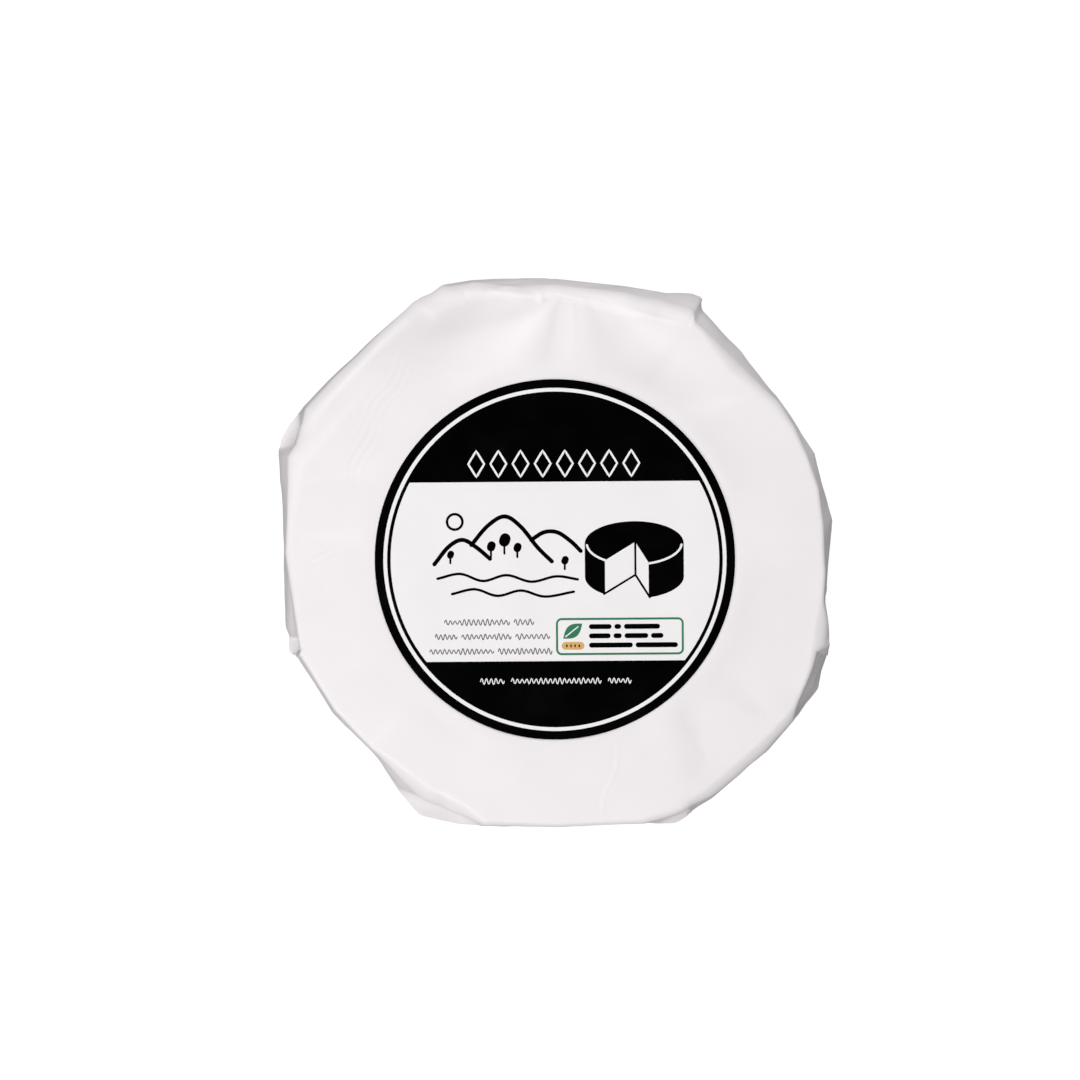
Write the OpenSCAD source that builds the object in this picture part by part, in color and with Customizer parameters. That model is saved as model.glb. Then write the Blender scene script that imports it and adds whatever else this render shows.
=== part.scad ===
// A camembert shut in white cheese paper, lying flat with its round label up.
// Millimetres, +Z up. The origin is on the surface that the pack rests on, under the middle of its outline.

/* [Cheese] */
// Diameter of the cheese under the paper
cheese_d = 105; // [87:0.5:130]
// Height of the wrapped cheese at its flat middle, without the label
pack_h = 25; // [18:0.5:40]
// How far the top face falls from its flat middle to its edge
crown_drop = 0.8; // [0:0.1:2]

/* [Paper] */
// Gap between the cheese's side and the paper where it is pulled tight
paper_slack = 0.9; // [0.2:0.1:2]
// How far a wide flap bows out between its two fold corners
flap_bow = 0.5; // [0:0.1:1.5]
// Widest angle that one flap covers before the paper is gathered into another, in degrees
flap_width = 24; // [12:1:60]
// Radius of the paper's bend from the top into the side
top_bend_r = 2.5; // [1:0.25:4]
// Radius of the paper's bend from the side into the underside
base_bend_r = 3.5; // [1:0.25:5]
// Height at which the loose paper of the side stands out furthest
bulge_h = 12; // [8:0.5:14]
// How much of a fold corner's loose paper is left at the foot of the side
foot_share = 0.35; // [0:0.05:1]
// Step down from one flap of paper to the next on the side
side_lap = 0.45; // [0.1:0.05:1]
// Step from one flap to the next on the underside, where more layers lie on each other
base_lap = 0.7; // [0.2:0.05:1.5]
// How far the flaps on the underside swing round on their way to the middle, in degrees
base_swirl = 24; // [0:1:60]
// Height of the shallow creases that the pull of the wrap leaves on the top
crease_h = 0.35; // [0:0.05:0.8]

/* [Label] */
// Diameter of the round label
label_d = 70; // [50:1:85]
// Thickness of the label
label_t = 0.15; // [0.1:0.05:0.5]
// How far the label's middle lies from the middle of the outline, towards -Y
label_drop = 1.2; // [0:0.1:3]
// Flat paper left all round the label
label_margin = 2; // [1:0.5:3]

/* [Detail] */
// Widest angle between two neighbouring columns of the paper's mesh, in degrees
column_step = 2.6; // [2.4:0.1:8]

/* [Hidden] */

paper_white = [0.96, 0.94, 0.94];
label_black = [0.05, 0.04, 0.04];

cheese_r = cheese_d / 2;
tight_r = cheese_r + paper_slack;
flat_r = label_d / 2 + label_drop + label_margin;

// Half the angle that a fold's step takes up
step_half = 0.2;

// The paper is gathered into folds. Each row is one fold corner, counted round from +X:
// its angle, how far it stands out from the cheese, and how much of that lies outside the top's edge.
folds = [
    [7, 2.1, 2.2],
    [21, 2.1, 2.2],
    [57, 3.2, 3.4],
    [61, 5.2, 2.2],
    [99, 2.8, 1.2],
    [113, 4.8, 1.2],
    [120, 4.2, 1.2],
    [148, 4.6, 1.4],
    [157, 6.1, 1.8],
    [195, 2.9, 2.6],
    [201, 3.0, 1.8],
    [242, 5.4, 3.2],
    [254, 3.1, 1.2],
    [294, 5.6, 2.6],
    [309, 4.2, 1.4],
    [325, 4.8, 2.2],
    [333, 5.9, 3.6],
    [346, 2.3, 1.8]
];
fold_count = len(folds);

// Creases that fan out over the top: angle, width in degrees, share of crease_h (below 0 is a hollow)
creases = [
    [84, 4, 1],
    [92, 5, -1],
    [99, 6, 0.8],
    [130, 9, 0.5],
    [176, 8, 0.5],
    [262, 10, 0.4],
    [316, 9, 0.5]
];

function fold(i) = folds[i % fold_count];
function fold_angle(i) = fold(i)[0] + 360 * floor(i / fold_count);
function fold_reach(i) = cheese_r + fold(i)[1];
function mix(a, b, t) = a + (b - a) * t;
function ease(t) = t * t * (3 - 2 * t);

// Distance from the middle to the straight edge of paper between fold i and the next, at angle a
function chord_r(i, a) =
    let (p = fold_reach(i), q = fold_reach(i + 1), a0 = fold_angle(i), a1 = fold_angle(i + 1))
    p * q * sin(a1 - a0) / (p * sin(a - a0) + q * sin(a1 - a));

// One column of the mesh: its angle, the outline's radius there, the overhang outside the top's edge,
// how far it lies from one fold corner to the next, and how far round its own flap it lies,
// from 0 at the flap's free edge to 1 under the next flap
function column(i, a, in_flap) =
    let (
        width = fold_angle(i + 1) - fold_angle(i),
        t = (a - fold_angle(i)) / width,
        bow = flap_bow * min(1, width / flap_width) * sin(180 * t)
    )
    [a, max(tight_r, chord_r(i, a)) + bow, mix(fold(i)[2], fold(i + 1)[2], t), t, in_flap];

// The columns of one flap, which starts and ends half a step inside its own angles
function flap_columns(i, from, to) =
    let (a0 = from + step_half, a1 = to - step_half, n = ceil((a1 - a0) / column_step))
    [for (k = [0 : n]) column(i, mix(a0, a1, k / n), k / n)];

columns = [
    for (i = [0 : fold_count - 1])
        let (a0 = fold_angle(i), a1 = fold_angle(i + 1), flaps = ceil((a1 - a0) / flap_width))
            for (f = [0 : flaps - 1])
                each flap_columns(i, mix(a0, a1, f / flaps), mix(a0, a1, (f + 1) / flaps))
];
column_count = len(columns);

// Height of the top's creases at angle a: rounded ridges and hollows, added up one by one
function turn_between(a, b) = let (d = (a - b) % 360) abs(d > 180 ? d - 360 : d < -180 ? d + 360 : d);
function bump(x) = exp(-x * x);
function one_crease(a, crease) = crease_h * crease[2] * bump(turn_between(a, crease[0]) / crease[1]);
function crease_at(a, i = 0) = i == len(creases) ? 0 : one_crease(a, creases[i]) + crease_at(a, i + 1);

// Rows of the mesh, from the top's flat middle round to the underside.
// Each gives [radius, height, swirl] for a column.
top_rows = 4;
top_bend_rows = 4;
side_rows = 6;
base_bend_rows = 3;
base_rows = [0.86, 0.64, 0.42, 0.2];
side_top_z = pack_h - crown_drop - top_bend_r;

// A flap lies half a lap proud at its free edge and half a lap low under the next.
// At the top only the fold corners make a step, and at the foot every flap does.
function lap_in(c, high) = side_lap * (mix(c[4], c[3], high) - 0.5);
function rim_r(c) = c[1] - c[2] - lap_in(c, 1);
function foot_r(c) = mix(tight_r, c[1], foot_share) - lap_in(c, 0);

function top_row(c, t) =
    let (edge = rim_r(c) - top_bend_r, rise = crease_at(c[0]) * sin(180 * t))
    [mix(flat_r, edge, t), pack_h - crown_drop * t * t + rise, 0];
function top_bend_row(c, t) =
    let (turn = 90 * t)
    [rim_r(c) - top_bend_r * (1 - sin(turn)), side_top_z + top_bend_r * cos(turn), 0];
function side_row(c, t) =
    let (z = mix(side_top_z, base_bend_r, t), out = c[1] - lap_in(c, 1 - t))
    z > bulge_h
    ? [mix(rim_r(c), out, ease((side_top_z - z) / (side_top_z - bulge_h))), z, 0]
    : [mix(foot_r(c), out, ease((z - base_bend_r) / (bulge_h - base_bend_r))), z, 0];
function base_bend_row(c, t) =
    let (turn = 90 * t, lap = base_lap * c[4] * t)
    [foot_r(c) - base_bend_r * (1 - cos(turn)), base_bend_r * (1 - sin(turn)) + lap, 0];
function base_row(c, share) =
    let (start = foot_r(c) - base_bend_r)
    [start * share, base_lap * c[4], base_swirl * (1 - share)];

function row_points(row) = [for (i = [0 : column_count - 1]) let (a = columns[i][0] + row[i][2])
    [row[i][0] * cos(a), row[i][0] * sin(a), row[i][1]]];

rows = concat(
    [for (k = [0 : top_rows]) [for (c = columns) top_row(c, k / top_rows)]],
    [for (k = [1 : top_bend_rows]) [for (c = columns) top_bend_row(c, k / top_bend_rows)]],
    [for (k = [1 : side_rows]) [for (c = columns) side_row(c, k / side_rows)]],
    [for (k = [1 : base_bend_rows]) [for (c = columns) base_bend_row(c, k / base_bend_rows)]],
    [for (share = base_rows) [for (c = columns) base_row(c, share)]]
);

ring_points = [for (row = rows) each row_points(row)];

// The middle of the outline's box, which goes over the origin
function middle_of(values) = (max(values) + min(values)) / 2;
middle = [middle_of([for (p = ring_points) p[0]]), middle_of([for (p = ring_points) p[1]]), 0];

module wrapped_cheese() {
    top_point = len(ring_points);
    base_point = top_point + 1;
    last = (len(rows) - 1) * column_count;
    walls = [
        for (j = [0 : len(rows) - 2]) for (i = [0 : column_count - 1])
            let (n = (i + 1) % column_count, a = j * column_count, b = a + column_count)
                each [[a + i, b + n, b + i], [a + i, a + n, b + n]]
    ];
    top_fan = [for (i = [0 : column_count - 1]) [top_point, (i + 1) % column_count, i]];
    base_fan = [for (i = [0 : column_count - 1]) [base_point, last + i, last + (i + 1) % column_count]];
    color(paper_white)
        translate(-middle)
            polyhedron(
                points = concat(ring_points, [[0, 0, pack_h], [0, 0, base_lap / 2]]),
                faces = concat(walls, top_fan, base_fan)
            );
}

module label() {
    color(label_black)
        translate([0, -label_drop, pack_h])
            cylinder(d = label_d, h = label_t, $fn = 128);
}

wrapped_cheese();
label();
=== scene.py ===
# %% [markdown]
# # A camembert shut in its paper
# A soft cheese is sold in one sheet of waxed white paper. The sheet is laid over the cheese, pulled down
# its side, gathered into folds and tucked under, and a round label is stuck on the top. The lesson builds
# two things: the folded paper, and the printed label. The cheese itself is never seen, so the paper is
# modelled as the closed skin of the whole pack.

# %% Load the fixed frame
import bpy
import numpy as np
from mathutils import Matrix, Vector


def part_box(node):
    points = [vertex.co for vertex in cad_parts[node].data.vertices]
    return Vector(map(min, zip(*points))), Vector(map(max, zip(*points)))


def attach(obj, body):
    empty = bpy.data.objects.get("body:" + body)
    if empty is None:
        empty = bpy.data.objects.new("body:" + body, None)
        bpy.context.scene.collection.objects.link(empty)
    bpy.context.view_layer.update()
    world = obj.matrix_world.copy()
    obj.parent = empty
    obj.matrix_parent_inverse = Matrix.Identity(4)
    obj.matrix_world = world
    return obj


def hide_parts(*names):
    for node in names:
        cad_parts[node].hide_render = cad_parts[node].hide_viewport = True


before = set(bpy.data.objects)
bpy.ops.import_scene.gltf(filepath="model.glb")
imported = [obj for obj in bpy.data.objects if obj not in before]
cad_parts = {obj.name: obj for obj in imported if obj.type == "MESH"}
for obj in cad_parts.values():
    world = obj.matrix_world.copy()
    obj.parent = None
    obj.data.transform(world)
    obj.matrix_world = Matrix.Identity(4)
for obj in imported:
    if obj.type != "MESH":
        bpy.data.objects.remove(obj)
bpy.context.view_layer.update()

# %% [markdown]
# Every size below is in millimetres, because that is how a packer would measure the pack, and one factor
# turns the finished points into Blender's metres. The height of the pack and the label's place are read
# from the CAD nodes, so that the skin and the print sit exactly where the solids are.

# %% Sizes of the pack
MM = 0.001
wrap_low, wrap_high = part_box("wrapped_cheese")
label_low, label_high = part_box("label")

PACK_H = label_low.z / MM  # the flat top of the paper, where the label starts
LABEL_T = (label_high.z - label_low.z) / MM
LABEL_R = label_high.x / MM
LABEL_Y = (label_high.y + label_low.y) / 2 / MM
CHEESE_R = 52.5  # the cheese under the paper
TIGHT_R = CHEESE_R + 0.5  # the paper where it is pulled tight on the side
print(f"pack {(wrap_high.x - wrap_low.x) / MM:.1f} mm across and {PACK_H:.2f} mm high")
print(f"label {2 * LABEL_R:.1f} mm across and {LABEL_T:.2f} mm thick")

# %% [markdown]
# ## Camera, light and floor
# The pack is seen from straight above, so the camera looks down the Z axis. It stands a metre away with a
# long lens, which keeps the tall side of the pack from spreading outwards. The pack lies a little right of
# and below the middle of the picture. The floor is a pale sheet that glows faintly, like a light table,
# because a plain white sheet would look grey beside white paper.

# %% Camera
PICTURE_MM = 209.6  # width of the picture, measured at the label
CAMERA_AWAY_MM = 1000.0
CAMERA_XY_MM = (-3.0, 2.5)


def placed(name, data):
    """A new object with this data, in the scene, at the origin, unturned and unscaled."""
    thing = bpy.data.objects.new(name, data)
    bpy.context.scene.collection.objects.link(thing)
    return thing


camera_data = bpy.data.cameras.new("camera")
camera = placed("camera", camera_data)
camera_data.sensor_width = 36.0
camera_data.lens = camera_data.sensor_width * CAMERA_AWAY_MM / PICTURE_MM
camera.location = (CAMERA_XY_MM[0] * MM, CAMERA_XY_MM[1] * MM, (PACK_H + CAMERA_AWAY_MM) * MM)
bpy.context.scene.camera = camera
print(f"lens {camera_data.lens:.0f} mm")

# %% [markdown]
# One helper adds every shader node, and one turns the colours, which are written as the hex values that a
# designer reads off a swatch, into the linear numbers that the renderer works with.

# %% Colour and node helpers
def linear(hex_colour):
    """sRGB hex to linear: a dark channel is divided by 12.92. To any other 0.055 is added, and it is
    divided by 1.055 and raised to the power 2.4."""
    channels = np.array([int(hex_colour[i:i + 2], 16) for i in (1, 3, 5)]) / 255
    bright = ((channels + 0.055) / 1.055) ** 2.4
    return (*np.where(channels <= 0.04045, channels / 12.92, bright).tolist(), 1.0)


def add_node(material, kind, output, values=None, links=None, **settings):
    """Adds a node with its settings, its constant socket values and the links into its sockets, and
    hands back the output of that name, if it has one that is used."""
    node = material.node_tree.nodes.new(kind)
    for name, value in settings.items():
        setattr(node, name, value)
    for socket, value in (values or {}).items():
        node.inputs[socket].default_value = value
    for socket, source in (links or {}).items():
        material.node_tree.links.new(source, node.inputs[socket])
    return node.outputs[output] if output else None


def new_material(name):
    """A node material with no nodes yet, to be filled by the caller."""
    material = bpy.data.materials.new(name)
    material.use_nodes = True
    material.node_tree.nodes.clear()
    return material


def surface(material, values, links=None):
    """Ends a material with its principled shader, joined to the output."""
    shader = add_node(material, "ShaderNodeBsdfPrincipled", "BSDF", values, links)
    add_node(material, "ShaderNodeOutputMaterial", None, links={"Surface": shader})


print("the whitest paper is", [round(c, 3) for c in linear("#FBF7F8")[:3]])

# %% [markdown]
# Two softboxes face the pack from behind and from the front left. They light the flat top evenly and the
# rim unevenly, so the rim is darkest on the right, where neither of them stands.

# %% Lights
AIM_MM = (0, 0, 12)  # the middle of the pack


def soft_light(name, place_mm, size_mm, watts):
    """A square softbox at a place, turned so that it faces the pack."""
    data = bpy.data.lights.new(name, "AREA")
    data.size = size_mm * MM
    data.energy = watts
    lamp = placed(name, data)
    place, aim = np.array(place_mm) * MM, np.array(AIM_MM) * MM
    lamp.location = place
    lamp.rotation_mode = "QUATERNION"
    lamp.rotation_quaternion = Vector(aim - place).to_track_quat("-Z", "Y")
    return lamp


lamps = [soft_light("back_softbox", (60, 620, 620), 600, 4.6),
         soft_light("front_left_softbox", (-330, -470, 660), 700, 5.7)]
print(len(lamps), "softboxes,", sum(lamp.data.energy for lamp in lamps), "watts together")

# %% [markdown]
# The room is light near the horizon and dark straight above, so that the glossy black print, which the
# camera sees from straight above, mirrors nothing and stays black.

# %% Room
HORIZON = 0.56
world = bpy.data.worlds.new("studio")
world.use_nodes = True
world.node_tree.nodes.clear()
room_place = add_node(world, "ShaderNodeTexCoord", "Generated")
room_up = add_node(world, "ShaderNodeSeparateXYZ", "Z", links={"Vector": room_place})
up_squared = add_node(world, "ShaderNodeMath", "Value", {1: 2.0}, {0: room_up}, operation="POWER")
room_light = add_node(world, "ShaderNodeMapRange", "Result", {"To Min": HORIZON, "To Max": 0.0},
                      {"Value": up_squared})
room = add_node(world, "ShaderNodeBackground", "Background", links={"Strength": room_light})
add_node(world, "ShaderNodeOutputWorld", None, links={"Surface": room})
bpy.context.scene.world = world
bpy.context.scene.view_settings.view_transform = "Standard"
bpy.context.scene.view_settings.look = "None"
print("room light at the horizon", HORIZON)

# %% [markdown]
# The floor lies under the pack only to be seen. It neither lights the pack from below nor shows in its
# shine, as if the pack had been cut out and laid on white.

# %% Floor
FLOOR_HALF_MM = 3000
FLOOR_GLOW = 0.87
floor_mesh = bpy.data.meshes.new("light_table")
floor_turns = ((-1, -1), (1, -1), (1, 1), (-1, 1))
floor_corners = [(x * FLOOR_HALF_MM * MM, y * FLOOR_HALF_MM * MM, 0) for x, y in floor_turns]
floor_mesh.from_pydata(floor_corners, [], [(0, 1, 2, 3)])
floor = placed("light_table", floor_mesh)
floor.visible_diffuse = False
floor.visible_glossy = False

floor_material = new_material("opal_acrylic_light_table")
surface(floor_material, {"Base Color": linear("#888888"), "Roughness": 0.9,
                         "Emission Color": linear("#FFFFFF"), "Emission Strength": FLOOR_GLOW})
floor_mesh.materials.append(floor_material)
print("floor", 2 * FLOOR_HALF_MM, "mm wide")

# %% [markdown]
# ## The fold corners
# Flat paper cannot follow a round edge. It lies in straight runs that meet at fold corners, which is why
# the pack's outline is a soft polygon. Each row below is one corner, counted round from the right. It gives
# the angle; how far the corner stands out beyond the cheese at half height; how much of that lies outside
# the top's edge; what share of that is thrown out flat, like the brim of a hat, as a pinched ear does,
# while the rest slopes evenly; how wide the shoulder is; and how far the shoulder falls.

# %% Fold corners
FOLDS = np.array([
    # right: two shallow pleats on a steep side, under a sharp edge
    (6.5, 1.9, 2.1, 0.0, 0.8, 0.15), (14, 1.5, 1.4, 0.0, 0.8, 0.15), (21, 1.9, 1.9, 0.0, 0.8, 0.15),
    (28, 0.9, 0.9, 0.0, 1.2, 0.2), (34, 0.7, 0.8, 0.0, 1.7, 0.4), (46, 1.25, 2.3, 0.0, 2.6, 1.0),
    # upper right: the side leans out, up to a sharp ear
    (56.5, 2.8, 2.9, 0.0, 1.4, 0.3), (59.5, 3.6, 3.2, 0.0, 1.4, 0.2), (60.3, 5.4, 3.2, 0.0, 3.4, 0.8),
    (62.5, 5.1, 2.8, 0.0, 4.2, 1.1), (67, 3.1, 2.3, 0.0, 3.6, 0.9), (75, 1.9, 1.6, 0.0, 2.6, 0.7),
    # top: tight paper, then a crumpled corner with a broad shoulder
    (90, 1.6, 1.5, 0.0, 2.6, 0.8), (99, 2.3, 1.7, 0.0, 3.0, 0.9), (107, 3.8, 0.8, 0.0, 4.2, 1.2),
    (113, 4.8, 0.45, 0.0, 4.6, 1.3), (115.3, 4.3, 0.45, 0.0, 4.2, 1.2), (119.5, 4.4, 0.45, 0.0, 4.0, 0.9),
    (127, 3.3, 0.5, 0.0, 3.0, 0.9), (134, 3.0, 0.55, 0.0, 2.4, 1.1), (142, 3.6, 0.7, 0.0, 2.6, 1.2),
    # upper left: a blunt corner
    (150, 5.1, 1.0, 0.0, 3.0, 1.0), (153.5, 5.7, 2.5, 0.95, 2.6, 0.9), (157.3, 6.3, 3.5, 0.96, 2.6, 0.8),
    (160, 5.5, 2.3, 0.0, 2.4, 0.6), (170, 2.0, 1.3, 0.0, 1.0, 0.2), (180, 1.0, 0.8, 0.0, 1.3, 0.3),
    # left: a long grey side that ends in a small square tab
    (195, 2.5, 2.5, 0.0, 0.8, 0.15), (197.2, 2.4, 2.1, 0.0, 0.8, 0.15), (197.9, 2.8, 2.4, 0.95, 0.8, 0.2),
    (200.4, 3.6, 2.9, 0.95, 0.8, 0.2), (201.3, 2.3, 1.1, 0.0, 0.8, 0.2), (215, 1.1, 0.8, 0.0, 0.8, 0.2),
    # lower left: tight paper, then a broad ear that lies out flat
    (227, 0.5, 0.9, 0.0, 0.9, 0.15), (236, 3.1, 2.2, 0.2, 2.4, 1.3), (240.5, 4.7, 3.0, 0.93, 2.8, 1.7),
    (242.5, 5.4, 3.6, 0.95, 2.8, 1.7), (250, 3.9, 2.5, 0.95, 2.2, 1.1), (255, 2.9, 0.8, 0.5, 1.2, 0.4),
    # bottom: one long straight run, then a small pinched ear
    (270, 0.9, 0.5, 0.0, 1.0, 0.2), (288, 3.0, 0.5, 0.0, 1.2, 0.3), (294, 5.4, 2.4, 0.8, 1.4, 0.3),
    (297, 5.1, 1.9, 0.8, 1.4, 0.3), (297.7, 4.3, 1.2, 0.0, 1.4, 0.4), (303, 4.2, 0.75, 0.0, 2.0, 0.8),
    # lower right: a bowed side, and a folded dark facet beside a light one
    (309, 3.7, 0.5, 0.0, 2.2, 0.9), (317, 3.9, 0.5, 0.0, 2.1, 0.9), (325, 4.5, 0.7, 0.0, 1.8, 0.8),
    (327.5, 4.5, 1.6, 0.0, 0.9, 0.2), (333, 5.4, 3.2, 0.0, 0.8, 0.15), (336.5, 4.4, 2.4, 0.0, 0.9, 0.2),
    (339.5, 4.2, 2.7, 0.0, 1.2, 0.3), (341.4, 4.0, 0.6, 0.0, 3.2, 1.1), (346, 2.4, 0.4, 0.0, 2.4, 0.7),
    (350, 1.1, 0.8, 0.0, 0.8, 0.2), (356, 0.9, 1.0, 0.0, 0.8, 0.15),
])
FOLD_ANGLE, FOLD_OUT, FOLD_OVERHANG, FOLD_FLARE, FOLD_SHOULDER, FOLD_FALL = FOLDS.T
TURN = 360.0
print(len(FOLDS), "fold corners")

# %% [markdown]
# The outline runs straight from corner to corner, but never inside the cheese: where a straight run would
# cut into it, the paper is tight on the cheese and follows the round.

# %% Outline of the paper
def fold_value(theta, values):
    """A value given at the fold corners, run straight from each corner to the next, at angle theta."""
    return np.interp(theta % TURN, FOLD_ANGLE, values, period=TURN)


def straight_run(theta):
    """Radius of the straight edge between two corners p and q that stand w degrees apart.
    It is p q sin(w) over the sum of p sin(angle from p's corner) and q sin(angle to q's corner)."""
    angles = np.concatenate([FOLD_ANGLE[-1:] - TURN, FOLD_ANGLE, FOLD_ANGLE[:1] + TURN])
    reach = CHEESE_R + np.concatenate([FOLD_OUT[-1:], FOLD_OUT, FOLD_OUT[:1]])
    turned = theta % TURN
    i = np.clip(np.searchsorted(angles, turned, side="right") - 1, 0, len(angles) - 2)
    p, q = reach[i], reach[i + 1]
    from_p, to_q = np.radians(turned - angles[i]), np.radians(angles[i + 1] - turned)
    return p * q * np.sin(from_p + to_q) / (p * np.sin(from_p) + q * np.sin(to_q))


def outline(theta, soften=0.35, round_mm=0.3):
    """The larger of the straight run and the tight paper, joined smoothly: half their sum plus half the
    root of their squared difference and a small squared radius. Each corner is blunted a little by
    averaging three nearby angles."""
    nearby = np.stack([straight_run(theta + d) for d in (-soften, 0.0, soften)]).mean(0)
    return (nearby + TIGHT_R + np.sqrt((nearby - TIGHT_R) ** 2 + round_mm ** 2)) / 2


sample = outline(np.arange(0.0, TURN, 1.0))
print(f"outline radius {sample.min():.1f} to {sample.max():.1f} mm")

# %% [markdown]
# ## The skin as one surface
# The skin is a profile carried round the pack: flat top, shoulder, side, foot and underside, each worked
# out for every angle at once. It could also be made by simulating a sheet of cloth, but paper creases
# sharply and keeps its facets, and a formula gives those directly and the same each time.

# %% Profile of the skin
TOP_FROM_R = 34.0  # the skin under the label is coarse, and starts to be fine here
CROWN_DROP = 0.35  # fall of the top from the label to the shoulder
EDGE_FALL = 0.4  # fall over the tight bend at the top's edge
EDGE_SHARE = 0.35  # what each millimetre of a shoulder's width adds to that fall
SQUARENESS = 2.5  # 2 bends the shoulder as an ellipse, and more makes its edge sharper
LAST_TURN = np.radians(78)  # the shoulder stops short of upright, where the side takes over
BRIM_POWER = 14  # a high power keeps a brim flat until it turns down
FOOT_BEND = 3.4  # radius of the bend at the side's foot
FOOT_IN = 0.3  # how far the foot lies inside the tight paper
FOOT_SHARE = 0.35  # share of what a corner stands out that is left at the foot
HUB_R = 2.5  # the hub underneath, where the sheet's ends meet


def shoulder_start(theta):
    """Radius where the flat top ends: the top's edge less the width of the shoulder."""
    return rim(theta)[0] - fold_value(theta, FOLD_SHOULDER)


def rim(theta):
    """Radius of the top's edge, and how far the paper has fallen there."""
    edge = outline(theta) - fold_value(theta, FOLD_OVERHANG)
    return edge, CROWN_DROP + fold_value(theta, FOLD_FALL) + bend_fall(theta)


def bend_fall(theta):
    """How far the paper falls over the bend itself: a little, and more where the shoulder is wide."""
    return EDGE_FALL + EDGE_SHARE * fold_value(theta, FOLD_SHOULDER)


def foot(theta):
    """Radius of the side's foot: the tight paper plus a share of what the corner stands out."""
    return TIGHT_R - FOOT_IN + FOOT_SHARE * (outline(theta) - TIGHT_R)


def widest_z(theta):
    """Height where the side stands out most: 12 mm, up and down by two slow waves round the pack."""
    return 12.0 + 1.3 * np.sin(np.radians(2 * theta + 40)) + 0.8 * np.sin(np.radians(5 * theta))


def top_part(theta, t):
    """From under the label to the shoulder, falling with the square of the way."""
    start = shoulder_start(theta)
    return TOP_FROM_R + (start - TOP_FROM_R) * t, PACK_H - CROWN_DROP * t ** 2


def shoulder_part(theta, t):
    """Most of a quarter of a squarish ellipse on a slope: sine and cosine to the power of 2 / squareness
    give the way out and the way down, and the slope adds its fall evenly on the way out."""
    turn, power = LAST_TURN * t, 2 / SQUARENESS
    way_out = (np.sin(turn) / np.sin(LAST_TURN)) ** power
    way_down = (1 - np.cos(turn) ** power) / (1 - np.cos(LAST_TURN) ** power)
    radius = shoulder_start(theta) + fold_value(theta, FOLD_SHOULDER) * way_out
    fall = fold_value(theta, FOLD_FALL) * way_out + bend_fall(theta) * way_down
    return radius, PACK_H - CROWN_DROP - fall


def upper_side_part(theta, t):
    """From the top's edge out to the widest height: as a sine, but for the share that goes out as the
    way down to a high power, which is nothing at first and then all at once, and so makes a brim."""
    edge, fall = rim(theta)
    z0 = PACK_H - fall
    brim = fold_value(theta, FOLD_FLARE)
    way_out = (1 - brim) * np.sin(np.pi / 2 * t) + brim * t ** BRIM_POWER
    return edge + (outline(theta) - edge) * way_out, z0 + (widest_z(theta) - z0) * t


def lower_side_part(theta, t):
    """Back in to the foot as a cosine, but the share under a brim tucks in at once."""
    out, inner, brim = outline(theta), foot(theta), fold_value(theta, FOLD_FLARE)
    share = (1 - brim) * np.cos(np.pi / 2 * t) + brim * (1 - t) ** 4
    widest = widest_z(theta)
    return inner + (out - inner) * share, widest + (FOOT_BEND - widest) * t


def foot_part(theta, t):
    """A quarter circle under the side."""
    turn = np.pi / 2 * t
    return foot(theta) - FOOT_BEND * (1 - np.cos(turn)), FOOT_BEND * (1 - np.sin(turn))


def base_part(theta, t):
    """The underside, flat on what the pack stands on, in to a small hub where the sheet's ends meet."""
    start = foot(theta) - FOOT_BEND
    return HUB_R + (start - HUB_R) * (1 - t), np.zeros_like(theta) * t


# the parts from the top down, each with its count of rows, and a name for the number of each
PARTS = ((top_part, 44), (shoulder_part, 12), (upper_side_part, 20), (lower_side_part, 12), (foot_part, 5),
         (base_part, 12))
TOP, SHOULDER, UPPER_SIDE, LOWER_SIDE, FOOT, BASE = range(len(PARTS))


# for each row of the mesh: how far along its part it lies, from 0 to 1, and its part's number; each
# part's first row is the last row of the part before it, so only the top keeps its own
steps = [np.linspace(0, 1, count + 1)[int(number > TOP):] for number, (_, count) in enumerate(PARTS)]
ROW_T = np.concatenate(steps)
ROW_PART = np.repeat(np.arange(len(PARTS)), [len(step) for step in steps])


def skin(theta):
    """Points of the skin for an array of angles, one row for each row of the plan: radius and height
    of every part, turned to x, y and z."""
    radius, height = np.empty_like(theta), np.empty_like(theta)
    for number, (part, _) in enumerate(PARTS):
        here = ROW_PART == number
        radius[here], height[here] = part(theta[here], ROW_T[here][:, None])
    angle = np.radians(theta)
    return np.stack([radius * np.cos(angle), radius * np.sin(angle), height], axis=-1)


print(len(ROW_T), "rows from the label to the hub")

# %% [markdown]
# ## Pleats
# Where the paper has nowhere to go it doubles back under itself: forward, back underneath, and forward
# again. That is a column order that runs backwards for a moment, so a pleat is made by shifting a few
# columns back round the pack and lowering them by a layer. A pleat starts with no width near the top's
# edge and widens to the foot. The underside is all pleats, which swing round to the hub and narrow to
# nothing there, so that no two layers lie in one plane.

# %% Columns and pleats
rng = np.random.default_rng(11)
MAIN_PLEATS = np.array([  # angle, and how far down the side the pleat starts
    (6.5, 0.25), (21, 0.25), (60.2, 0), (92, 0.35), (113.5, 0.2), (126, 0.4), (159, 0.3), (200.7, 0.4),
    (231, 0.45), (254, 0.45), (297.3, 0), (326, 0.3), (339.5, 0.1), (349, 0.4),
])
WIDEST_FLAP = 19.0  # degrees between two pleats before a smaller one comes between
COLUMN_STEP = 0.55  # degrees between two columns
EDGE_GAP = 0.12  # degrees from a pleat's edge to the nearest even column
LAYER = 0.28  # one layer of paper with the air under it
PLEAT_WIDTH = 2.6  # how far a pleat doubles back at the foot
SWIRL = 26.0  # turn of the underside's pleats, in degrees


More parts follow.
